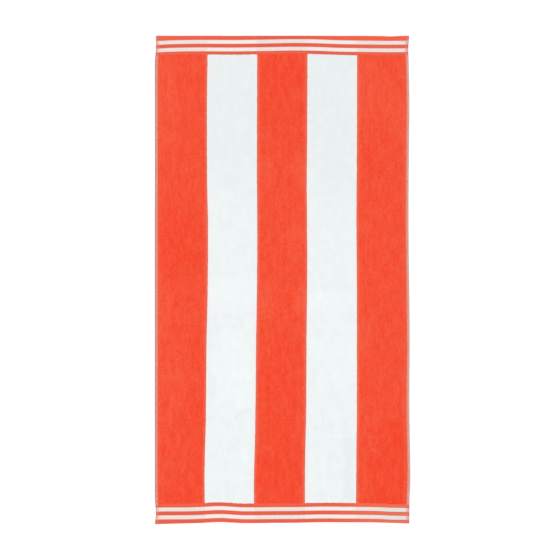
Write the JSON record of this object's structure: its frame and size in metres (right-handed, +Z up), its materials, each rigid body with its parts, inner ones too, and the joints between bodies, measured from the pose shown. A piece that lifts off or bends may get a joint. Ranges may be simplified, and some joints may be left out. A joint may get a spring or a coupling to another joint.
{
  "type": "beach towel",
  "caption": "Flat rectangular cotton beach towel with wide lengthwise coral and white stripes, flat-woven banded end borders and sewn hems.",
  "frame": {"origin": "centre of the towel's box at its flat underside", "axes": "+Z up out of the sheared face, +Y along the towel's length towards the top end, +X across its width"},
  "size_m": [0.8656, 1.6546, 0.0053],
  "materials": {
    "coral_cotton": "sheared cotton velour, coral yarn",
    "white_cotton": "sheared cotton velour, white yarn",
    "border_weave": "flat-woven cotton border, coral with white cross bands",
    "salmon_hem": "flat-woven cotton side hem, coral and white yarns mixed",
    "sewing_thread": "matt spun sewing thread"
  },
  "bodies": {
    "root": {"towel": "coral_cotton"}
  },
  "joints": []
}
